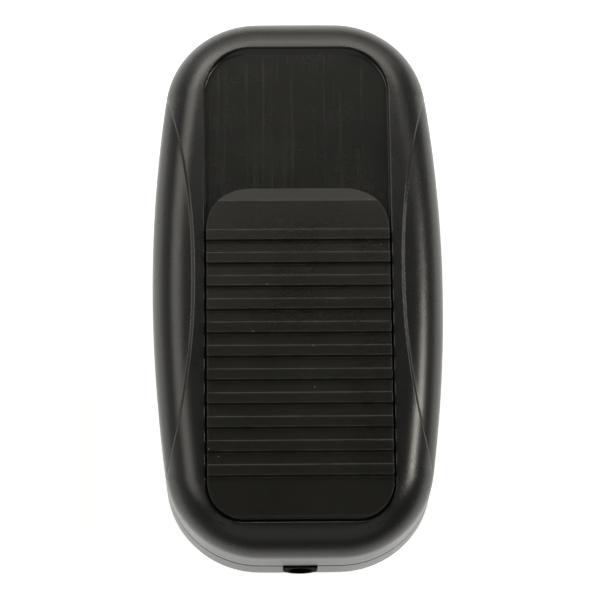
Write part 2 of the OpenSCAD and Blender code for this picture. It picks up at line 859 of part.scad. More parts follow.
module fuse_clips() {
  clip_r = fuse_r + fit;
  color([0.8, 0.72, 0.45])
    for (mid = [fuse_y0 + fuse_cap_l / 2, fuse_y1 - fuse_cap_l / 2])
      difference() {
        box(2 * (clip_r + clip_t), clip_w, deck_z, fuse_z + fuse_r / 2, [fuse_x, mid]);
        rod_y(clip_r, mid - clip_w, mid + clip_w, fuse_x, fuse_z);
        box(clip_r, 2 * clip_w, fuse_z, fuse_z + fuse_r, [fuse_x, mid]);
      }
}

// Parts to the left of the potentiometer, from the front to the rear
left_x = -right_x;
resistor_lift = 0.4;
wire_r = 0.3;
bead_r = 0.45;
resistor_x = left_x - resistor_l / 2 - bead_r - part_gap;
resistor_y = -clear_y + resistor_r;
resistor_pitch = 2 * resistor_r + part_gap;
resistor_count = 2;
choke_c = [
  left_x - choke_r,
  resistor_y + (resistor_count - 1) * resistor_pitch + resistor_r + part_gap + choke_r
];
cap_c = [left_x - cap_w / 2, choke_c.y + choke_r + part_gap + cap_l / 2];
timer_c = [left_x - timer_w / 2, cap_c.y + cap_l / 2 + part_gap + timer_l / 2];
diac_c = [
  left_x - diac_l / 2 - bead_r - part_gap,
  timer_c.y + timer_l / 2 + part_gap + diac_r
];

// Round body laid along X, with a wire at each end that stands in a bead on the board
module axial_part(r, l, c) {
  axis_z = deck_z + resistor_lift + r;
  reach = l / 2 + part_gap;
  rod_x(r, c.x - l / 2, c.x + l / 2, c.y, axis_z);
  rod_x(wire_r, c.x - reach, c.x + reach, c.y, axis_z);
  for (x_sign = [-1, 1])
    rod(bead_r, deck_z, axis_z + bead_r, [c.x + x_sign * reach, c.y]);
}

module resistors() {
  color([0.76, 0.66, 0.5])
    for (k = [0 : resistor_count - 1])
      axial_part(resistor_r, resistor_l, [resistor_x, resistor_y + k * resistor_pitch]);
}

module diac() {
  color([0.2, 0.35, 0.65])
    axial_part(diac_r, diac_l, diac_c);
}

choke_plate_t = 1.2;
choke_post_r = 2.6;
winding_gap = 0.7;

module choke_core() {
  color([0.2, 0.2, 0.22])
    union() {
      rod(choke_r, deck_z, deck_z + choke_plate_t, choke_c);
      rod(choke_post_r, deck_z, deck_z + choke_h, choke_c);
      rod(choke_r, deck_z + choke_h - choke_plate_t, deck_z + choke_h, choke_c);
    }
}

module choke_winding() {
  color([0.72, 0.38, 0.18])
    difference() {
      rod(choke_r - winding_gap, deck_z + choke_plate_t, deck_z + choke_h - choke_plate_t,
        choke_c);
      rod(choke_post_r + fit, deck_z, deck_z + choke_h, choke_c);
    }
}

module suppression_capacitor() {
  color([0.85, 0.75, 0.2])
    prism(round_rect(cap_w, cap_l, part_gap, cap_c), deck_z, deck_z + cap_h);
}

module timing_capacitor() {
  color([0.7, 0.2, 0.15])
    prism(round_rect(timer_w, timer_l, part_gap, timer_c), deck_z, deck_z + timer_h);
}

// Terminal blocks at both ends of the board
block_y = board_l / 2 - block_edge - block_l / 2;
pole_x = block_w / 4;
wire_hole_r = 1.5;
terminal_screw_r = 1.5;
terminal_head_h = 1.4;
terminal_screw_l = 3.2;
wire_hole_z = deck_z + block_h / 3;

// A two-pole block whose wires enter from the rear
module terminal_block() {
  difference() {
    box(block_w, block_l, deck_z, deck_z + block_h, [0, block_y]);
    for (x_sign = [-1, 1]) {
      rod_y(wire_hole_r, block_y, block_y + block_l, x_sign * pole_x, wire_hole_z);
      rod(terminal_screw_r + fit, deck_z + block_h - terminal_screw_l - fit,
        deck_z + block_h + over, [x_sign * pole_x, block_y]);
    }
  }
}

module rear_terminal_block() {
  color([0.2, 0.45, 0.3])
    terminal_block();
}

module front_terminal_block() {
  color([0.2, 0.45, 0.3])
    rotate([0, 0, 180])
      terminal_block();
}

module terminal_screws() {
  slot_depth = terminal_head_h / 2;
  top_z = deck_z + block_h - terminal_head_h / 2;
  color([0.75, 0.75, 0.77])
    both_ends()
      for (x_sign = [-1, 1])
        difference() {
          rod(terminal_screw_r, deck_z + block_h - terminal_screw_l, top_z,
            [x_sign * pole_x, block_y]);
          box(3 * terminal_screw_r, terminal_screw_r / 2, top_z - slot_depth, top_z + over,
            [x_sign * pole_x, block_y]);
        }
}

// Cord clamps and bushes

module cord_clamp() {
  difference() {
    prism(round_rect(clamp_l, clamp_w, clamp_post_r, [0, clamp_y]), clamp_z, clamp_z + clamp_t);
    rod_y(cord_r, clamp_y - clamp_w, clamp_y + clamp_w, 0, cord_z);
    for (x_sign = [-1, 1])
      rod(small_screw_r + fit, clamp_z - over, clamp_z + clamp_t + over,
        [x_sign * clamp_x, clamp_y]);
  }
}

module rear_cord_clamp() {
  color([0.8, 0.8, 0.78])
    cord_clamp();
}

module front_cord_clamp() {
  color([0.8, 0.8, 0.78])
    rotate([0, 0, 180])
      cord_clamp();
}

module clamp_screws() {
  color([0.75, 0.75, 0.77])
    both_ends()
      for (x_sign = [-1, 1])
        pan_screw(small_screw_r, clamp_screw_l, small_head_r, small_head_h,
          clamp_z + clamp_t, 1, [x_sign * clamp_x, clamp_y]);
}

module cord_bush() {
  flange_y1 = end_wall_y - fit;
  difference() {
    union() {
      notch_section(notch_r, part_z - fit, bush_y0, bush_y1);
      box(flange_w, flange_t, floor_z + fit, part_z + tongue_h,
        [0, flange_y1 - flange_t / 2]);
    }
    rod_y(cord_r, bush_y0 - over, bush_y1 + over, 0, cord_z);
  }
}

module rear_cord_bush() {
  color([0.05, 0.05, 0.05])
    cord_bush();
}

module front_cord_bush() {
  color([0.05, 0.05, 0.05])
    rotate([0, 0, 180])
      cord_bush();
}

// Housing screws and feet

module cover_screws() {
  color([0.6, 0.6, 0.62])
    four(boss_c)
      pan_screw(screw_r, screw_l, head_r, head_h, seat_z, -1, [0, 0]);
}

module rubber_feet() {
  color([0.07, 0.07, 0.07])
    four(foot_c)
      rod(foot_r, 0, base_z + foot_sunk);
}

top_cover();
base_shell();
foot_pedal();
pedal_retainer();
retainer_screws();
pot_frame();
pot_track_plate();
carbon_tracks();
wiper_carrier();
wiper_contacts();
circuit_board();
board_screws();
triac();
heatsink();
triac_screw();
choke_core();
choke_winding();
suppression_capacitor();
timing_capacitor();
diac();
resistors();
fuse_tube();
fuse_caps();
fuse_clips();
front_terminal_block();
rear_terminal_block();
terminal_screws();
front_cord_clamp();
rear_cord_clamp();
clamp_screws();
front_cord_bush();
rear_cord_bush();
cover_screws();
rubber_feet();
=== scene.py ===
# Floor dimmer switch: a black housing with a ribbed foot pedal that slides in a sunk track
import bmesh
import bpy
import json
import math
from mathutils import Matrix, Vector


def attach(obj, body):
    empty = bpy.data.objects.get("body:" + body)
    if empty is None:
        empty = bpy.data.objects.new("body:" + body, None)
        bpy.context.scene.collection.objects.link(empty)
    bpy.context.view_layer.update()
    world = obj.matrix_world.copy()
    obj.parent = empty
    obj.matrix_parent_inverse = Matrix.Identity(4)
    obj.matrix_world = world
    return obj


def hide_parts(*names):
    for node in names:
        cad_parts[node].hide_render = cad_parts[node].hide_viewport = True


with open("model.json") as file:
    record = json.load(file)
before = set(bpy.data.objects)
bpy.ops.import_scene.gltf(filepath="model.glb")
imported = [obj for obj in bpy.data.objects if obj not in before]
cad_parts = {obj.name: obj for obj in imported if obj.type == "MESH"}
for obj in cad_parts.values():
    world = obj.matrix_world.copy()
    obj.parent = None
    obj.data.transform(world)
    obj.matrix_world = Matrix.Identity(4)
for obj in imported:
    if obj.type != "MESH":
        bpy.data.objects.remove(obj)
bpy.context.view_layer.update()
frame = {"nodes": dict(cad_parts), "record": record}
mm = 0.001
print("frame loaded:", len(frame["nodes"]), "nodes")

# Camera, where the photograph was taken from: front end nearest, a little to the left
cameraView = {
    "tilt": 17.0,  # degrees from straight down
    "turn": -4.1,
    "roll": 3.6,
    "distance": 0.681,
    "aimHeight": 0.012,
    "lens": 197.0,
    "sensor": 36,
    "shift": (0.0042, -0.0177),
    "clip": (0.01, 20),
}


def addCamera(v):
    tilt, turn, roll = (math.radians(v[k]) for k in ("tilt", "turn", "roll"))
    back = Vector((math.sin(tilt) * math.sin(turn), -math.sin(tilt) * math.cos(turn), math.cos(tilt)))
    level = Vector((math.cos(turn), math.sin(turn), 0))
    upright = back.cross(level)
    right = level * math.cos(roll) + upright * math.sin(roll)
    up = upright * math.cos(roll) - level * math.sin(roll)
    data = bpy.data.cameras.new("studioCamera")
    data.lens = v["lens"]
    data.sensor_width = v["sensor"]
    data.shift_x, data.shift_y = v["shift"]
    data.clip_start, data.clip_end = v["clip"]
    camera = bpy.data.objects.new("studioCamera", data)
    camera.matrix_world = Matrix.Translation(
        Vector((0, 0, v["aimHeight"])) + back * v["distance"]
    ) @ Matrix((right, up, back)).transposed().to_4x4()
    bpy.context.scene.collection.objects.link(camera)
    bpy.context.scene.camera = camera


addCamera(cameraView)
print("camera placed")

# Housing sizes in millimetres, as in the CAD model
housing = {
    "width": 60, "length": 115,
    "sideRadius": 292, "cornerRadius": 19.3, "endRadius": 850,
    "baseLow": 0.6, "partLine": 7.2, "shoulderLow": 14.0, "crown": 23.0, "crownDrop": 2.1,
    "shoulderWidth": 7.6, "wall": 2.3, "floorTop": 2.6,
    "hemRound": 0.1, "seamHigh": 0.5, "seamDeep": 0.55, "toeRound": 0.5,
    "hemMiddle": 0.3, "toeMiddle": 0.29,  # where a rounding's middle point lies, as a share of the rounding
    "wallSteps": (0.35, 0.7, 1),  # heights of the cover's rings below the shoulder
}
outlineSteps = {"side": 34, "corner": 18, "end": 5}
making = {  # millimetres, counts and degrees
    "loftMerge": 0.002, "finishedMerge": 0.001,  # points closer than this become one
    "near": 0.01, "overrun": 1, "root": 0.2,
    "roundSegments": 48, "cordSegments": 64,
    "shellAngle": 32, "pedalAngle": 40,  # edges that turn less than this are shaded smooth
}
overrun, root = making["overrun"], making["root"]  # how far a cutter sticks out, and a post sinks in

sideCentre = Vector((housing["width"] / 2 - housing["sideRadius"], 0))
endCentre = Vector((0, housing["length"] / 2 - housing["endRadius"]))
sideReach = housing["sideRadius"] - housing["cornerRadius"]
endReach = housing["endRadius"] - housing["cornerRadius"]
centreLine = endCentre - sideCentre
alongLine = (sideReach ** 2 - endReach ** 2 + centreLine.length_squared) / (2 * centreLine.length)
acrossLine = math.sqrt(sideReach ** 2 - alongLine ** 2)
centreWay = centreLine.normalized()
cornerCentre = sideCentre + centreWay * alongLine + Vector((-centreWay.y, centreWay.x)) * acrossLine
sideAngle = math.atan2(cornerCentre.y - sideCentre.y, cornerCentre.x - sideCentre.x)
endAngle = math.atan2(cornerCentre.y - endCentre.y, cornerCentre.x - endCentre.x)
crownRadius = ((housing["length"] / 2) ** 2 + housing["crownDrop"] ** 2) / (2 * housing["crownDrop"])
quarterSteps = sum(outlineSteps.values())
stationCount = 4 * quarterSteps


def quarterStep(station):
    quadrant, k = divmod(station % stationCount, quarterSteps)
    return quadrant, k if quadrant % 2 == 0 else quarterSteps - k


def signed(quadrant, x, y):  # a first-quarter point, mirrored into its own quarter
    return Vector((-x if quadrant in (1, 2) else x, -y if quadrant > 1 else y))


def outlinePoint(station, inset):
    quadrant, k = quarterStep(station)
    side, corner, end = (outlineSteps[n] for n in ("side", "corner", "end"))
    if k <= side:
        centre, radius, angle = sideCentre, housing["sideRadius"], sideAngle * k / side
    elif k <= side + corner:
        centre, radius = cornerCentre, housing["cornerRadius"]
        angle = sideAngle + (endAngle - sideAngle) * (k - side) / corner
    else:
        centre, radius = endCentre, housing["endRadius"]
        angle = endAngle + (math.pi / 2 - endAngle) * (k - side - corner) / end
    p = centre + (radius - inset) * Vector((math.cos(angle), math.sin(angle)))
    return signed(quadrant, p.x, p.y)


def insetAt(x, y):  # distance of a point inside the outline from the outline
    p = Vector((abs(x), abs(y)))
    fromCorner = p - cornerCentre
    if sideAngle <= math.atan2(fromCorner.y, fromCorner.x) <= endAngle:
        return housing["cornerRadius"] - fromCorner.length
    return min(housing["sideRadius"] - (p - sideCentre).length,
               housing["endRadius"] - (p - endCentre).length)


def crownAt(y):
    return housing["crown"] - crownRadius + math.sqrt(crownRadius ** 2 - y ** 2)


def pillowHeight(y, inset):
    across = max(0, 1 - inset / housing["shoulderWidth"])
    low = housing["shoulderLow"]
    return low + (crownAt(y) - low) * math.sqrt(1 - across ** 2)


def loftRings(rings):  # each ring is a function from a station to its point in millimetres
    bm = bmesh.new()
    layer = bm.verts.layers.int.new("station")
    for station in range(stationCount):
        vert = bm.verts.new(rings[0](station) * mm)
        vert[layer] = station
    bm.verts.ensure_lookup_table()
    ring = [bm.edges.new((bm.verts[s], bm.verts[(s + 1) % stationCount])) for s in range(stationCount)]
    bmesh.ops.contextual_create(bm, geom=ring)
    for place in rings[1:]:
        geom = bmesh.ops.extrude_edge_only(bm, edges=ring)["geom"]
        ring = [g for g in geom if isinstance(g, bmesh.types.BMEdge)
                and all(v in geom for v in g.verts)]
        for vert in (g for g in geom if isinstance(g, bmesh.types.BMVert)):
            vert.co = place(vert[layer]) * mm
        ring = [e for e in ring if abs(e.verts[0][layer] - e.verts[1][layer]) in (1, stationCount - 1)]
    bmesh.ops.contextual_create(bm, geom=ring)
    bmesh.ops.remove_doubles(bm, verts=bm.verts, dist=making["loftMerge"] * mm)
    bmesh.ops.recalc_face_normals(bm, faces=bm.faces)
    return bm


def flatRing(inset, z):
    return lambda s: outlinePoint(s, inset).to_3d() + Vector((0, 0, z))


def addObject(name, bm):
    mesh = bpy.data.meshes.new(name)
    bm.to_mesh(mesh)
    bm.free()
    obj = bpy.data.objects.new(name, mesh)
    bpy.context.scene.collection.objects.link(obj)
    return obj


def addCylinder(bm, x, y, radius, low, high, segments=making["roundSegments"]):
    place = Matrix.Translation(Vector((x, y, (low + high) / 2)) * mm)
    bmesh.ops.create_cone(bm, cap_ends=True, cap_tris=False, segments=segments,
                          radius1=radius * mm, radius2=radius * mm, depth=(high - low) * mm, matrix=place)


def addCordCylinder(bm, radius, y0, y1, z):
    place = Matrix.Translation(Vector((0, (y0 + y1) / 2, z)) * mm) @ Matrix.Rotation(math.pi / 2, 4, "X")
    bmesh.ops.create_cone(bm, cap_ends=True, cap_tris=False, segments=making["cordSegments"],
                          radius1=radius * mm, radius2=radius * mm, depth=abs(y1 - y0) * mm, matrix=place)


def addCorners(bm, spot, radius, low, high):  # one cylinder in each quarter
    for x in (-1, 1):
        for y in (-1, 1):
            addCylinder(bm, x * spot[0], y * spot[1], radius, low, high)


def addBox(bm, low, high):
    size = Vector(high) - Vector(low)
    middle = (Vector(high) + Vector(low)) / 2
    place = Matrix.Translation(middle * mm) @ Matrix.Diagonal((*(size * mm), 1))
    bmesh.ops.create_cube(bm, size=1, matrix=place)


def cutWith(obj, tool, operation):
    modifier = obj.modifiers.new(operation.lower(), "BOOLEAN")
    modifier.operation = operation
    modifier.solver = "EXACT"
    modifier.object = tool
    bakeModifiers(obj)
    bpy.data.objects.remove(tool)


def bakeModifiers(obj):
    graph = bpy.context.evaluated_depsgraph_get()
    mesh = bpy.data.meshes.new_from_object(obj.evaluated_get(graph))
    obj.modifiers.clear()
    obj.data = mesh


def smoothShade(obj, angle):
    bm = bmesh.new()
    bm.from_mesh(obj.data)
    bmesh.ops.remove_doubles(bm, verts=bm.verts, dist=making["finishedMerge"] * mm)
    bmesh.ops.recalc_face_normals(bm, faces=bm.faces)
    for face in bm.faces:
        face.smooth = True
    for edge in bm.edges:
        edge.smooth = len(edge.link_faces) == 2 and edge.calc_face_angle(0) < math.radians(angle)
    bm.to_mesh(obj.data)
    bm.free()
    weighted = obj.modifiers.new("evenNormals", "WEIGHTED_NORMAL")
    weighted.keep_sharp = True
    bakeModifiers(obj)


# Top cover
cover = {
    "gripWidth": 8.05, "gripStep": 0.4, "gripBand": 0.9, "gripBow": 2.15, "gripFullness": 2.25,
    "gripRings": 18, "bandRings": 10, "bandEase": 0.2, "pillowRings": 16,
    "trackHalf": 19.1, "trackFloor": 20.3, "trackRearY": 49.9, "trackFrontY": 51.25,
    "frontCorner": 7.8, "rearCorner": 9.6,
    "rimRound": 0.35, "rimRings": 5, "sideFillet": 0.16, "rearSlope": (0.95, 0.72), "filletRings": 8,
    "slot": ((-5.35, -19.85), (5.35, 17.85)),
    "rebateInset": 1.225, "rebateHigh": 9.05, "upperInset": 3.57, "upperLow": 15.8, "roof": 18.5,
    "boss": (20.45, 39.55), "bossRadius": 3.2, "bossGap": 0.05, "screwRadius": 1.5, "screwTop": 15.05,
    "floorStrip": 0.14,  # a narrow strip of flat floor inside the fillet
    "floorBand": 0.02,  # faces within this height of the floor have the track's finish
}


def gripShare(station):  # 1 in the middle of a side, falling to 0 where the bulge runs out
    k = quarterStep(station)[1]
    side = outlineSteps["side"]
    return 1 - (k / side) ** cover["gripBow"] if k < side else 0


def trackPoint(station, outset):
    quadrant, k = quarterStep(station)
    side, corner, end = (outlineSteps[n] for n in ("side", "corner", "end"))
    endY, r = ((cover["trackFrontY"], cover["frontCorner"]) if quadrant > 1
               else (cover["trackRearY"], cover["rearCorner"]))
    half = cover["trackHalf"]
    if k <= side:
        return signed(quadrant, half + outset, (endY - r) * k / side)
    if k <= side + corner:
        angle = math.pi / 2 * (k - side) / corner
        return signed(quadrant, half - r + (r + outset) * math.cos(angle),
                      endY - r + (r + outset) * math.sin(angle))
    return signed(quadrant, (half - r) * (1 - (k - side - corner) / end), endY + outset)


def gripRing(j):
    power = 2 / cover["gripFullness"]

    def place(s):
        share = gripShare(s)
        crease = cover["gripWidth"] * share
        rim = outlinePoint(s, crease)
        creaseZ = pillowHeight(rim.y, crease) - cover["gripStep"] * share
        low = housing["shoulderLow"]
        if share == 0:
            return outlinePoint(s, 0).to_3d() + Vector((0, 0, low))
        span = math.acos((1 - share) ** (1 / power))
        turn = span * j / cover["gripRings"]
        p = outlinePoint(s, cover["gripWidth"] * (1 - max(0, math.cos(turn)) ** power))
        return Vector((p.x, p.y, low + (creaseZ - low) * (math.sin(turn) / math.sin(span)) ** power))
    return place


def bandRise(t):  # an even slope with a short easing at both ends
    ease = cover["bandEase"]
    if t > 0.5:
        return 1 - bandRise(1 - t)
    return t * t / (2 * ease * (1 - ease)) if t < ease else (t - ease / 2) / (1 - ease)


def bandRing(j):
    t = j / cover["bandRings"]

    def place(s):
        share = gripShare(s)
        if share == 0:
            return outlinePoint(s, 0).to_3d() + Vector((0, 0, housing["shoulderLow"]))
        crease = cover["gripWidth"] * share
        inset = crease + cover["gripBand"] * share * t
        p = outlinePoint(s, inset)
        rise = bandRise(t)
        return Vector((p.x, p.y, pillowHeight(p.y, inset) - cover["gripStep"] * share * (1 - rise)))
    return place


def pillowRing(j):  # closer together near the bulge, where the shoulder turns most
    t = 1 - math.cos(math.pi / 2 * j / cover["pillowRings"])

    def place(s):
        start = outlinePoint(s, (cover["gripWidth"] + cover["gripBand"]) * gripShare(s))
        p = start.lerp(trackPoint(s, cover["rimRound"]), t)
        return Vector((p.x, p.y, pillowHeight(p.y, insetAt(p.x, p.y))))
    return place


def rimRing(j):  # a quarter round from the shoulder down into the track's wall
    turn = math.pi / 2 * j / cover["rimRings"]
    r = cover["rimRound"]

    def place(s):
        top = trackPoint(s, r)
        p = trackPoint(s, r * (1 - math.sin(turn)))
        return Vector((p.x, p.y, pillowHeight(top.y, insetAt(top.x, top.y)) - r * (1 - math.cos(turn))))
    return place


def trackRing(j, beyond=0):  # a hollow fillet at the sides, which grows to a straight slope at the rear end
    t = j / cover["filletRings"]
    turn = math.pi / 2 * t

    def place(s):
        quadrant, k = quarterStep(s)
        turned = min(1, max(0, (k - outlineSteps["side"]) / outlineSteps["corner"])) if quadrant < 2 else 0
        side = cover["sideFillet"]
        run, height = (side + (size - side) * turned for size in cover["rearSlope"])
        inwards = (1 - math.sin(turn)) * (1 - turned) + (1 - t) * turned
        rise = (1 - math.cos(turn)) * (1 - turned) + t * turned
        p = trackPoint(s, -run * inwards - beyond)
        return Vector((p.x, p.y, cover["trackFloor"] + height * rise))
    return place


hem = housing["hemRound"]
part = housing["partLine"]
seamTop, seamDeep = part + housing["seamHigh"], housing["seamDeep"]
hemMiddle = hem * housing["hemMiddle"]
coverRings = [flatRing(seamDeep, part), flatRing(seamDeep, seamTop), flatRing(hem, seamTop),
              flatRing(hemMiddle, seamTop + hemMiddle), flatRing(0, seamTop + hem)]
wallHigh = housing["shoulderLow"] - seamTop
coverRings += [flatRing(0, seamTop + wallHigh * share) for share in housing["wallSteps"]]
coverRings += [gripRing(j) for j in range(1, cover["gripRings"] + 1)]
coverRings += [bandRing(j) for j in range(1, cover["bandRings"] + 1)]
coverRings += [pillowRing(j) for j in range(1, cover["pillowRings"] + 1)]
coverRings += [rimRing(j) for j in range(1, cover["rimRings"] + 1)]
coverRings += [trackRing(j) for j in range(cover["filletRings"], -1, -1)]
coverRings.append(trackRing(0, cover["floorStrip"]))
topCover = addObject("topCover", loftRings(coverRings))

cavityRings = [
    flatRing(cover["rebateInset"], part - overrun), flatRing(cover["rebateInset"], cover["rebateHigh"]),
    flatRing(housing["wall"], cover["rebateHigh"]), flatRing(housing["wall"], cover["upperLow"]),
    flatRing(cover["upperInset"], cover["upperLow"]), flatRing(cover["upperInset"], cover["roof"]),
]
cutWith(topCover, addObject("cavityTool", loftRings(cavityRings)), "DIFFERENCE")
bosses = bmesh.new()
addCorners(bosses, cover["boss"], cover["bossRadius"], part + cover["bossGap"], cover["roof"] + root)
cutWith(topCover, addObject("bossTool", bosses), "UNION")
openings = bmesh.new()
(slotX0, slotY0), (slotX1, slotY1) = cover["slot"]
addBox(openings, (slotX0, slotY0, cover["roof"] - overrun), (slotX1, slotY1, cover["trackFloor"] + overrun))
addCorners(openings, cover["boss"], cover["screwRadius"], part - overrun, cover["screwTop"])
cutWith(topCover, addObject("openingTool", openings), "DIFFERENCE")
smoothShade(topCover, making["shellAngle"])
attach(topCover, "housing")
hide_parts("top_cover")
print("top cover made:", len(topCover.data.polygons), "faces")

# Base shell
base = {
    "soleMargin": 0.4, "tongueInset": 1.4, "tongueHigh": 8.7, "tongueRound": 0.2,
    "bossRadius": 3.95, "headRadius": 3.05, "headHigh": 2.7, "screwRadius": 1.5,
    "post": (18.4, 32.4), "postRadius": 2.6, "postHigh": 4.6, "postHole": 1.05, "postHoleLow": 2.15,
    "clampPost": (6.5, 45.6), "clampPostRadius": 2.5, "clampPostHigh": 6.3, "clampHoleLow": 3.45,
    "foot": (19.1, 28.75), "footRadius": 4.05, "footHigh": 1.4,
    "notchRadius": 3.55, "notchHeight": 4.75, "notchY0": 49.95, "notchY1": 60,
    "channelRadius": 2.75, "channelHeight": 4.2, "channelY0": 42.25,
}
toe = housing["toeRound"]
baseLow = housing["baseLow"]
toeMiddle = toe * housing["toeMiddle"]
tongueIn, tongueHigh, tongueRound = base["tongueInset"], base["tongueHigh"], base["tongueRound"]
baseRings = [
    flatRing(toe + base["soleMargin"], baseLow), flatRing(toe, baseLow),
    flatRing(toeMiddle, baseLow + toeMiddle), flatRing(0, baseLow + toe),
    flatRing(0, (baseLow + part) / 2), flatRing(0, part - hem),
    flatRing(hemMiddle, part - hemMiddle), flatRing(hem, part), flatRing(tongueIn, part),
    flatRing(tongueIn, tongueHigh - tongueRound), flatRing(tongueIn + tongueRound, tongueHigh),
    flatRing(housing["wall"], tongueHigh), flatRing(housing["wall"], housing["floorTop"]),
]
baseShell = addObject("baseShell", loftRings(baseRings))
posts = bmesh.new()
postLow = housing["floorTop"] - root
addCorners(posts, cover["boss"], base["bossRadius"], postLow, part)
addCorners(posts, base["post"], base["postRadius"], postLow, base["postHigh"])
addCorners(posts, base["clampPost"], base["clampPostRadius"], postLow, base["clampPostHigh"])
cutWith(baseShell, addObject("postTool", posts), "UNION")
recesses = bmesh.new()
addCorners(recesses, cover["boss"], base["headRadius"], baseLow - overrun, base["headHigh"])
addCorners(recesses, base["post"], base["postHole"], base["postHoleLow"], base["postHigh"] + overrun)
addCorners(recesses, base["clampPost"], base["postHole"], base["clampHoleLow"],
           base["clampPostHigh"] + overrun)
addCorners(recesses, base["foot"], base["footRadius"], baseLow - overrun, base["footHigh"])
cutWith(baseShell, addObject("recessTool", recesses), "DIFFERENCE")
screwHoles = bmesh.new()
addCorners(screwHoles, cover["boss"], base["screwRadius"], base["headHigh"] - overrun, part + overrun)
for way in (-1, 1):
    addCordCylinder(screwHoles, base["channelRadius"], way * base["channelY0"],
                    way * (base["notchY0"] + overrun), base["channelHeight"])
cutWith(baseShell, addObject("screwHoleTool", screwHoles), "DIFFERENCE")
for way in (-1, 1):
    ends = sorted((way * base["notchY0"], way * base["notchY1"]))
    notch = bmesh.new()
    addCordCylinder(notch, base["notchRadius"], *ends, base["notchHeight"])
    cutWith(baseShell, addObject("notchTool", notch), "DIFFERENCE")
    notch = bmesh.new()
    addBox(notch, (-base["notchRadius"], ends[0], base["notchHeight"]),
           (base["notchRadius"], ends[1], tongueHigh + overrun))
    cutWith(baseShell, addObject("notchTool", notch), "DIFFERENCE")
smoothShade(baseShell, making["shellAngle"])
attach(baseShell, "housing")
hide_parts("base_shell")
print("base shell made:", len(baseShell.data.polygons), "faces")

# Foot pedal
pedal = {
    "halfWidth": 18.75, "y0": -50.9, "y1": 18.9, "low": 20.6, "rise": 0.4, "corners": (7.45, 9.25),
    "bevelRun": 3.2, "bevelLip": 0.8, "nose": 0.5,
    "ribs": 11, "ribPitch": 4.93, "ribWidth": 2.6, "ribHeight": 0.8, "ribSlope": 0.25, "ribStart": 9.45,
    "stem": (5.0, 3.5), "stemY": -16.0, "stemLow": 18.2,
    "stemRoot": 0.3, "leverPocket": (0.65, 2.05), "leverTop": 19.45,
    "holeX": 3.4, "holeRadius": 1.05, "holeTop": 20.85, "holeSegments": 24,
    "plateTop": 26, "cornerSegments": 18, "edgeRound": 0.28, "edgeSegments": 4, "edgeAngle": 24,
}


def pedalTop(y):
    return crownAt(y) + pedal["rise"]


def pedalProfile():  # from the front end over the ribs to the sloped rear edge
    p = pedal
    frontTop = pedalTop(p["y0"])
    points = [(p["y0"], p["low"]), (p["y0"], frontTop - p["nose"]), (p["y0"] + p["nose"], frontTop)]
    for k in reversed(range(p["ribs"])):
        rear = p["y1"] - p["ribStart"] - k * p["ribPitch"]
        front = rear - p["ribWidth"]
        points += [
            (front, pedalTop(front)),
            (front + p["ribSlope"], pedalTop(front) + p["ribHeight"]),
            (rear - p["ribSlope"], pedalTop(rear) + p["ribHeight"]),
            (rear, pedalTop(rear)),
        ]
    foot = p["y1"] - p["bevelRun"]
    points += [(foot, pedalTop(foot)), (p["y1"], p["low"] + p["bevelLip"]), (p["y1"], p["low"])]
    return points


ribbed = bmesh.new()
halfReach = pedal["halfWidth"] + overrun
verts = [ribbed.verts.new(Vector((-halfReach, y, z)) * mm) for y, z in pedalProfile()]
face = ribbed.faces.new(verts)
out = bmesh.ops.extrude_face_region(ribbed, geom=[face])["geom"]
bmesh.ops.translate(ribbed, vec=Vector((2 * halfReach, 0, 0)) * mm,
                    verts=[g for g in out if isinstance(g, bmesh.types.BMVert)])
bmesh.ops.recalc_face_normals(ribbed, faces=ribbed.faces)
footPedal = addObject("footPedal", ribbed)

plate = bmesh.new()
addBox(plate, (-pedal["halfWidth"], pedal["y0"], pedal["low"] - overrun),
       (pedal["halfWidth"], pedal["y1"], pedal["plateTop"]))
near = making["near"] * mm
for endY, corner in zip((pedal["y0"], pedal["y1"]), pedal["corners"]):
    upright = [e for e in plate.edges if abs(e.verts[0].co.z - e.verts[1].co.z) > mm
               and abs(abs(e.verts[0].co.x) - pedal["halfWidth"] * mm) < near
               and abs(e.verts[0].co.y - endY * mm) < near]
    bmesh.ops.bevel(plate, geom=upright, offset=corner * mm, offset_type="OFFSET",
                    segments=pedal["cornerSegments"], profile=0.5, affect="EDGES", material=-1)
cutWith(footPedal, addObject("plateTool", plate), "INTERSECT")
rounding = footPedal.modifiers.new("edgeRound", "BEVEL")
rounding.width = pedal["edgeRound"] * mm
rounding.segments = pedal["edgeSegments"]
rounding.limit_method = "ANGLE"
rounding.angle_limit = math.radians(pedal["edgeAngle"])
rounding.use_clamp_overlap = True
bakeModifiers(footPedal)
stem = bmesh.new()
sx, sy = pedal["stem"]
addBox(stem, (-sx, pedal["stemY"] - sy, pedal["stemLow"]),
       (sx, pedal["stemY"] + sy, pedal["low"] + pedal["stemRoot"]))
cutWith(footPedal, addObject("stemTool", stem), "UNION")
pockets = bmesh.new()
px, py = pedal["leverPocket"]
pocketLow = pedal["stemLow"] - overrun
addBox(pockets, (-px, pedal["stemY"] - py, pocketLow), (px, pedal["stemY"] + py, pedal["leverTop"]))
for way in (-1, 1):
    addCylinder(pockets, way * pedal["holeX"], pedal["stemY"], pedal["holeRadius"], pocketLow,
                pedal["holeTop"], pedal["holeSegments"])
cutWith(footPedal, addObject("pocketTool", pockets), "DIFFERENCE")
smoothShade(footPedal, making["pedalAngle"])
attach(footPedal, "pedal")
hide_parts("foot_pedal")
print("foot pedal made:", len(footPedal.data.polygons), "faces")


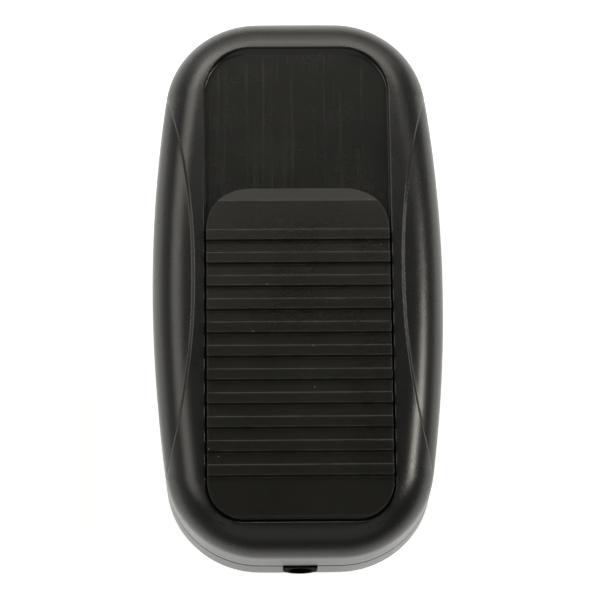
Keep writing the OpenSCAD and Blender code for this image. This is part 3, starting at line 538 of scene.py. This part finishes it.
# Shared effects
effects = {
    "grain": {"Grain": 3200.0, "Patch": 60.0, "Sheen": 0.4, "Spread": 0.06},
    "wear": {"Reach": 0.0003, "Amount": 1.0, "Breakup": 260.0},
    "wearGain": 6.0, "wearKept": (0.25, 0.6),
    "dust": {"Spacing": 420.0, "Size": 0.05, "Share": 0.12},
    "dustLeast": 0.4, "dustColour": (0.22, 0.22, 0.20),
    "streaks": {"Across": 900.0, "Along": 14.0},
    "streaksKept": (0.55, 0.72), "streakRoughness": 0.12,
}


def newGroup(name, inputs, outputs):
    group = bpy.data.node_groups.new(name, "ShaderNodeTree")
    for label, value in inputs.items():
        socket = group.interface.new_socket(label, in_out="INPUT", socket_type="NodeSocketFloat")
        socket.default_value = value
    for label in outputs:
        group.interface.new_socket(label, in_out="OUTPUT", socket_type="NodeSocketFloat")
    return group, group.nodes.new("NodeGroupInput"), group.nodes.new("NodeGroupOutput")


def addNode(tree, kind, settings=None, **values):
    node = tree.nodes.new(kind)
    for key, value in (settings or {}).items():
        setattr(node, key, value)
    for key, value in values.items():
        socket = node.inputs[int(key[1:])] if key[0] == "i" and key[1:].isdigit() else node.inputs[key]
        if isinstance(value, bpy.types.NodeSocket):
            tree.links.new(value, socket)
        else:
            socket.default_value = value
    return node


def addMath(tree, operation, a, b=0.0, clamp=False):
    settings = {"operation": operation, "use_clamp": clamp}
    return addNode(tree, "ShaderNodeMath", settings, i0=a, i1=b).outputs[0]


# Spark-eroded grain: a fine pebble height and slow patches of sheen
def buildMouldedGrain():
    group, given, result = newGroup("mouldedGrain", effects["grain"], ("Height", "Roughness", "Patches"))
    place = addNode(group, "ShaderNodeTexCoord").outputs["Object"]
    fine = addNode(group, "ShaderNodeTexNoise", Vector=place, Scale=given.outputs["Grain"],
                   Detail=2.0, Roughness=0.6)
    slow = addNode(group, "ShaderNodeTexNoise", Vector=place, Scale=given.outputs["Patch"],
                   Detail=3.0, Roughness=0.55)
    centred = [addMath(group, "SUBTRACT", noise.outputs["Fac"], 0.5) for noise in (fine, slow)]
    fineSheen, slowSheen = (addMath(group, "MULTIPLY", c, given.outputs["Spread"]) for c in centred)
    total = addMath(group, "ADD", addMath(group, "ADD", slowSheen, slowSheen), fineSheen)
    sheen = addMath(group, "ADD", given.outputs["Sheen"], total, clamp=True)
    group.links.new(fine.outputs["Fac"], result.inputs["Height"])
    group.links.new(sheen, result.inputs["Roughness"])
    group.links.new(slow.outputs["Fac"], result.inputs["Patches"])
    return group


# Mask of rubbed corners, broken up so that it isn't an even line
def buildEdgeWear():
    group, given, result = newGroup("edgeWear", effects["wear"], ("Mask",))
    soft = addNode(group, "ShaderNodeBevel", {"samples": 4}, Radius=given.outputs["Reach"])
    hard = addNode(group, "ShaderNodeNewGeometry")
    facing = addNode(group, "ShaderNodeVectorMath", {"operation": "DOT_PRODUCT"}, i0=soft.outputs[0],
                     i1=hard.outputs["Normal"]).outputs["Value"]
    turned = addMath(group, "SUBTRACT", 1.0, facing)
    corner = addMath(group, "MULTIPLY", turned, effects["wearGain"], clamp=True)
    place = addNode(group, "ShaderNodeTexCoord").outputs["Object"]
    broken = addNode(group, "ShaderNodeTexNoise", Vector=place, Scale=given.outputs["Breakup"], Detail=3.0)
    least, most = effects["wearKept"]
    kept = addNode(group, "ShaderNodeMapRange", i0=broken.outputs["Fac"], i1=least, i2=most).outputs[0]
    worn = addMath(group, "MULTIPLY", addMath(group, "MULTIPLY", corner, kept), given.outputs["Amount"])
    group.links.new(worn, result.inputs["Mask"])
    return group


# Sparse specks of lint and dust of uneven size
def buildDustSpecks():
    group, given, result = newGroup("dustSpecks", effects["dust"], ("Mask",))
    place = addNode(group, "ShaderNodeTexCoord").outputs["Object"]
    cells = addNode(group, "ShaderNodeTexVoronoi", {"feature": "F1"}, Vector=place,
                    Scale=given.outputs["Spacing"])
    colour = addNode(group, "ShaderNodeSeparateColor", i0=cells.outputs["Color"])
    chosen = addMath(group, "LESS_THAN", colour.outputs[0], given.outputs["Share"])
    uneven = addMath(group, "ADD", colour.outputs[1], effects["dustLeast"])
    size = addMath(group, "MULTIPLY", given.outputs["Size"], uneven)
    near = addMath(group, "LESS_THAN", cells.outputs["Distance"], size)
    group.links.new(addMath(group, "MULTIPLY", chosen, near), result.inputs["Mask"])
    return group


# Straight rub marks along Y where the pedal slides
def buildRubStreaks():
    group, given, result = newGroup("rubStreaks", effects["streaks"], ("Mask",))
    place = addNode(group, "ShaderNodeTexCoord").outputs["Object"]
    parts = addNode(group, "ShaderNodeSeparateXYZ", Vector=place)
    across = addMath(group, "MULTIPLY", parts.outputs["X"], given.outputs["Across"])
    along = addMath(group, "MULTIPLY", parts.outputs["Y"], given.outputs["Along"])
    stretched = addNode(group, "ShaderNodeCombineXYZ", X=across, Y=along)
    lines = addNode(group, "ShaderNodeTexNoise", Vector=stretched.outputs[0], Scale=1.0,
                    Detail=3.0, Roughness=0.65)
    least, most = effects["streaksKept"]
    rare = addNode(group, "ShaderNodeMapRange", i0=lines.outputs["Fac"], i1=least, i2=most).outputs[0]
    group.links.new(rare, result.inputs["Mask"])
    return group


mouldedGrain, edgeWear = buildMouldedGrain(), buildEdgeWear()
dustSpecks, rubStreaks = buildDustSpecks(), buildRubStreaks()


def addGroup(tree, group, **values):
    return addNode(tree, "ShaderNodeGroup", {"node_tree": group}, **values)


def mixColour(tree, mask, a, b):
    node = addNode(tree, "ShaderNodeMix", {"data_type": "RGBA"}, i0=mask)
    for socket, value in ((node.inputs[6], a), (node.inputs[7], b)):
        if isinstance(value, bpy.types.NodeSocket):
            tree.links.new(value, socket)
        else:
            socket.default_value = (*value, 1)
    return node.outputs[2]


plainLook = {  # what a finish has unless its own line says otherwise; lengths in metres
    "metallic": 0, "gloss": 0.5, "coat": 0, "clear": 0,
    "grain": 3200.0, "patch": 60.0, "spread": 0.06, "wear": 0.3, "wearReach": 0.0003,
    "bump": 0.3, "depth": 0.00002,
}


def makeFinish(name, ownLook):
    look = {**plainLook, **ownLook}
    material = bpy.data.materials.new(name)
    material.use_nodes = True
    tree = material.node_tree
    shader = tree.nodes["Principled BSDF"]
    shader.inputs["Metallic"].default_value = look["metallic"]
    shader.inputs["Specular IOR Level"].default_value = look["gloss"]
    shader.inputs["Coat Weight"].default_value = look["coat"]
    shader.inputs["Transmission Weight"].default_value = look["clear"]
    grain = addGroup(tree, mouldedGrain, Grain=look["grain"], Patch=look["patch"],
                     Sheen=look["roughness"], Spread=look["spread"])
    wear = addGroup(tree, edgeWear, Reach=look["wearReach"], Amount=look["wear"])
    tint = mixColour(tree, grain.outputs["Patches"], look["colour"], look["patchColour"])
    # pales the edges; on the pedal this is partly wear and partly a painted highlight along the rib and plate
    # edges
    tint = mixColour(tree, wear.outputs["Mask"], tint, look["wornColour"])
    roughness = grain.outputs["Roughness"]
    if "streaks" in look:
        rub = addGroup(tree, rubStreaks)
        rubbed = addMath(tree, "MULTIPLY", rub.outputs["Mask"], look["streaks"])
        tint = mixColour(tree, rubbed, tint, look["wornColour"])
        rougher = addMath(tree, "MULTIPLY", rubbed, effects["streakRoughness"])
        roughness = addMath(tree, "ADD", roughness, rougher)
    if "dust" in look:
        specks = addGroup(tree, dustSpecks, Share=look["dust"])
        tint = mixColour(tree, specks.outputs["Mask"], tint, effects["dustColour"])
    tree.links.new(tint, shader.inputs["Base Color"])
    tree.links.new(roughness, shader.inputs["Roughness"])
    bump = addNode(tree, "ShaderNodeBump", Strength=look["bump"], Distance=look["depth"],
                   Height=grain.outputs["Height"])
    tree.links.new(bump.outputs[0], shader.inputs["Normal"])
    return material


housingPlastic = {
    "colour": (0.0080, 0.0080, 0.0083), "patchColour": (0.0095, 0.0095, 0.0095),
    "wornColour": (0.03, 0.03, 0.03), "roughness": 0.28, "spread": 0.05, "wear": 0.1,
    "grain": 5200.0, "bump": 0.6, "depth": 0.00003,
}
finishes = {
    "cover_plastic": housingPlastic,
    "base_plastic": housingPlastic,
    # its strong, wide pale edges are partly wear and partly a painted highlight along the rib edges
    "pedal_plastic": {"colour": (0.0062, 0.0060, 0.0046), "patchColour": (0.0078, 0.0076, 0.0060),
                      "wornColour": (0.048, 0.047, 0.043), "roughness": 0.29, "wear": 0.9,
                      "wearReach": 0.0006, "dust": 0.3, "grain": 5200.0, "bump": 0.7, "depth": 0.00005},
    "slider_nylon": {"colour": (0.72, 0.70, 0.64), "patchColour": (0.66, 0.64, 0.58),
                     "wornColour": (0.80, 0.78, 0.72), "roughness": 0.42},
    "zinc_steel": {"colour": (0.62, 0.62, 0.64), "patchColour": (0.52, 0.52, 0.53), "metallic": 1,
                   "wornColour": (0.75, 0.75, 0.76), "roughness": 0.32, "wear": 0.6},
    "plated_steel": {"colour": (0.66, 0.66, 0.67), "patchColour": (0.58, 0.58, 0.59), "metallic": 1,
                     "wornColour": (0.78, 0.78, 0.79), "roughness": 0.28, "wear": 0.4},
    "phenolic_sheet": {"colour": (0.33, 0.19, 0.08), "patchColour": (0.26, 0.14, 0.06),
                       "wornColour": (0.42, 0.27, 0.13), "roughness": 0.5, "patch": 220.0},
    "carbon_ink": {"colour": (0.02, 0.02, 0.02), "patchColour": (0.028, 0.028, 0.028),
                   "wornColour": (0.06, 0.06, 0.06), "roughness": 0.55, "patch": 300.0},
    "contact_brass": {"colour": (0.78, 0.61, 0.29), "patchColour": (0.66, 0.50, 0.22), "metallic": 1,
                      "wornColour": (0.85, 0.70, 0.38), "roughness": 0.25, "wear": 0.5},
    "board_laminate": {"colour": (0.05, 0.20, 0.09), "patchColour": (0.04, 0.17, 0.07),
                       "wornColour": (0.30, 0.30, 0.17), "roughness": 0.35, "wear": 0.7, "grain": 1500.0},
    "black_epoxy": {"colour": (0.03, 0.03, 0.03), "patchColour": (0.04, 0.04, 0.04),
                    "wornColour": (0.10, 0.10, 0.10), "roughness": 0.5},
    "heatsink_aluminium": {"colour": (0.75, 0.76, 0.77), "patchColour": (0.68, 0.69, 0.70), "metallic": 1,
                           "wornColour": (0.82, 0.83, 0.84), "roughness": 0.34, "wear": 0.5},
    "ferrite": {"colour": (0.06, 0.06, 0.07), "patchColour": (0.08, 0.08, 0.085),
                "wornColour": (0.13, 0.13, 0.14), "roughness": 0.6, "wear": 0.6, "depth": 0.00005},
    "enamelled_copper": {"colour": (0.50, 0.19, 0.07), "patchColour": (0.42, 0.14, 0.05),
                         "wornColour": (0.62, 0.28, 0.12), "roughness": 0.25, "coat": 0.5},
    "capacitor_yellow": {"colour": (0.75, 0.56, 0.06), "patchColour": (0.70, 0.51, 0.05),
                         "wornColour": (0.82, 0.65, 0.20), "roughness": 0.3},
    "capacitor_red": {"colour": (0.45, 0.06, 0.04), "patchColour": (0.38, 0.05, 0.03),
                      "wornColour": (0.55, 0.12, 0.08), "roughness": 0.2, "coat": 0.4},
    "diac_blue": {"colour": (0.07, 0.18, 0.46), "patchColour": (0.06, 0.15, 0.40),
                  "wornColour": (0.40, 0.42, 0.48), "roughness": 0.25, "coat": 0.4},
    "resistor_tan": {"colour": (0.60, 0.44, 0.27), "patchColour": (0.54, 0.38, 0.22),
                     "wornColour": (0.68, 0.55, 0.40), "roughness": 0.45},
    "fuse_glass": {"colour": (0.85, 0.90, 0.92), "patchColour": (0.82, 0.88, 0.90), "clear": 0.9,
                   "wornColour": (0.9, 0.95, 0.95), "roughness": 0.06, "spread": 0.02, "bump": 0.05},
    "cap_plating": {"colour": (0.70, 0.70, 0.72), "patchColour": (0.62, 0.62, 0.64), "metallic": 1,
                    "wornColour": (0.80, 0.80, 0.81), "roughness": 0.22, "wear": 0.4},
    "terminal_plastic": {"colour": (0.05, 0.28, 0.14), "patchColour": (0.045, 0.25, 0.12),
                         "wornColour": (0.16, 0.40, 0.26), "roughness": 0.35},
    "clamp_nylon": {"colour": (0.66, 0.65, 0.61), "patchColour": (0.60, 0.59, 0.55),
                    "wornColour": (0.75, 0.74, 0.70), "roughness": 0.45},
    "black_rubber": {"colour": (0.003, 0.003, 0.003), "patchColour": (0.004, 0.004, 0.004), "gloss": 0.06,
                     "wornColour": (0.008, 0.008, 0.008), "roughness": 0.8, "depth": 0.00004},
    "track_plastic": {"colour": (0.0025, 0.0025, 0.0018), "patchColour": (0.004, 0.004, 0.003),
                      "wornColour": (0.032, 0.032, 0.030), "roughness": 0.26, "wear": 0.2,
                      "streaks": 0.3, "grain": 5200.0, "bump": 0.7, "depth": 0.00005},
}
madeFinishes = {slot: makeFinish(slot, look) for slot, look in finishes.items()}


def dress(obj, material):
    obj.data.materials.clear()
    obj.data.materials.append(material)


for entry in frame["record"]["subparts"]:
    dress(frame["nodes"][entry["node"]], madeFinishes[entry["material_slot"]])
dress(baseShell, madeFinishes["base_plastic"])
dress(footPedal, madeFinishes["pedal_plastic"])
dress(topCover, madeFinishes["cover_plastic"])
topCover.data.materials.append(madeFinishes["track_plastic"])
for polygon in topCover.data.polygons:
    onFloor = abs(polygon.center.z - cover["trackFloor"] * mm) < cover["floorBand"] * mm
    if onFloor and polygon.normal.z > 0.5:
        polygon.material_index = 1
print("finishes made:", len(madeFinishes))

# Studio
studio = {  # lengths in metres
    "floorSize": 4.0, "floorColour": (0.86, 0.86, 0.86), "shadedFarFloor": (0.5, 0.5, 0.5), "floorRoughness": 0.9,
    "poolMiddle": (-0.012, 0.03, 0), "poolReach": (0.112, 0.18),  # a painted light pool under and behind the part: the floor glows and is paler inside it, greyer beyond
    "floorGlow": (0.84, 0.6), "glowLine": 0.058, "glowReach": (0.004, 0.012),  # stronger in front of the part
    "sideShare": 0.72, "sideReach": (0.034, 0.044),  # weaker to its left and right
    "horizon": (0.08, 0.66), "brightSide": (-0.6, 0.8, 0), "zenith": 0.05, "fade": 0.5,
    "lampColour": (1.0, 0.975, 0.88),
    "lights": {  # direction as azimuth and elevation, distance, width and height, power
        "leftBox": {"azimuth": 155, "elevation": 47, "distance": 0.9, "size": (1.25, 0.38), "power": 4.2},
        "rightBox": {"azimuth": 4, "elevation": 40, "distance": 0.9, "size": (0.3, 0.17), "power": 3.1},
        "rightFill": {"azimuth": 42, "elevation": 42, "distance": 0.9, "size": (0.5, 0.26), "power": 0.25},
        "rearBox": {"azimuth": 90, "elevation": 43, "distance": 0.9, "size": (0.9, 0.38), "power": 3.8},
        "rearLow": {"azimuth": 90, "elevation": 22, "distance": 0.9, "size": (1.4, 0.2), "power": 1.25},
        "frontFill": {"azimuth": -90, "elevation": 40, "distance": 0.9, "size": (1.2, 0.6), "power": 1.05},
    },
}
floorMesh = bmesh.new()
bmesh.ops.create_grid(floorMesh, x_segments=2, y_segments=2, size=studio["floorSize"] / 2)
floor = addObject("studioFloor", floorMesh)
floorFinish = bpy.data.materials.new("studioFloor")
floorFinish.use_nodes = True
floorTree = floorFinish.node_tree
floorShader = floorTree.nodes["Principled BSDF"]
floorShader.inputs["Roughness"].default_value = studio["floorRoughness"]
floorShader.inputs["Emission Color"].default_value = (1, 1, 1, 1)


def softStep(tree, value, reach, levels):  # from the first level to the second over the reach
    return addNode(tree, "ShaderNodeMapRange", {"interpolation_type": "SMOOTHSTEP"}, i0=value,
                   i1=reach[0], i2=reach[1], i3=levels[0], i4=levels[1]).outputs[0]


floorWay = addNode(floorTree, "ShaderNodeTexCoord").outputs["Object"]
floorParts = addNode(floorTree, "ShaderNodeSeparateXYZ", Vector=floorWay)
fromFront = addMath(floorTree, "ADD", floorParts.outputs["Y"], studio["glowLine"])
fromLine = addMath(floorTree, "ABSOLUTE", fromFront)
fromSide = addMath(floorTree, "ABSOLUTE", floorParts.outputs["X"])
fromMiddle = addNode(floorTree, "ShaderNodeVectorMath", {"operation": "DISTANCE"}, i0=floorWay,
                     i1=studio["poolMiddle"]).outputs["Value"]
beside = softStep(floorTree, fromSide, studio["sideReach"], (1.0, studio["sideShare"]))
glow = softStep(floorTree, fromLine, studio["glowReach"], studio["floorGlow"])
pool = softStep(floorTree, fromMiddle, studio["poolReach"], (1.0, 0.0))
strength = addMath(floorTree, "MULTIPLY", addMath(floorTree, "MULTIPLY", glow, beside), pool)
floorTree.links.new(strength, floorShader.inputs["Emission Strength"])
# painted light pool in the floor's colour: pale inside the pool, grey beyond it
floorTree.links.new(mixColour(floorTree, pool, studio["shadedFarFloor"], studio["floorColour"]),
                    floorShader.inputs["Base Color"])
dress(floor, floorFinish)

bpy.context.scene.view_settings.view_transform = "Standard"
world = bpy.data.worlds.new("studioWorld")
world.use_nodes = True
skyTree = world.node_tree
background = skyTree.nodes["Background"]
skyWay = addNode(skyTree, "ShaderNodeTexCoord").outputs["Generated"]
skyHeight = addNode(skyTree, "ShaderNodeSeparateXYZ", Vector=skyWay).outputs["Z"]
brightness = addNode(skyTree, "ShaderNodeVectorMath", {"operation": "DOT_PRODUCT"}, i0=skyWay,
                     i1=studio["brightSide"]).outputs["Value"]
horizon = addNode(skyTree, "ShaderNodeMapRange", i0=brightness, i1=-1.0, i2=1.0,
                  i3=studio["horizon"][0], i4=studio["horizon"][1]).outputs[0]
sky = softStep(skyTree, skyHeight, (0.0, studio["fade"]), (horizon, studio["zenith"]))
background.inputs["Color"].default_value = (1, 1, 1, 1)
skyTree.links.new(sky, background.inputs["Strength"])
bpy.context.scene.world = world
for name, light in studio["lights"].items():
    azimuth, elevation = math.radians(light["azimuth"]), math.radians(light["elevation"])
    level = math.cos(elevation)
    way = Vector((math.cos(azimuth) * level, math.sin(azimuth) * level, math.sin(elevation)))
    data = bpy.data.lights.new(name, "AREA")
    data.shape = "RECTANGLE"
    data.size, data.size_y = light["size"]
    data.energy = light["power"]
    data.color = studio["lampColour"]
    lamp = bpy.data.objects.new(name, data)
    across = Vector((0, 0, 1)).cross(way).normalized()
    lamp.matrix_world = Matrix.Translation(way * light["distance"]) @ Matrix(
        (across, way.cross(across), way)).transposed().to_4x4()
    bpy.context.scene.collection.objects.link(lamp)
print("studio lit")
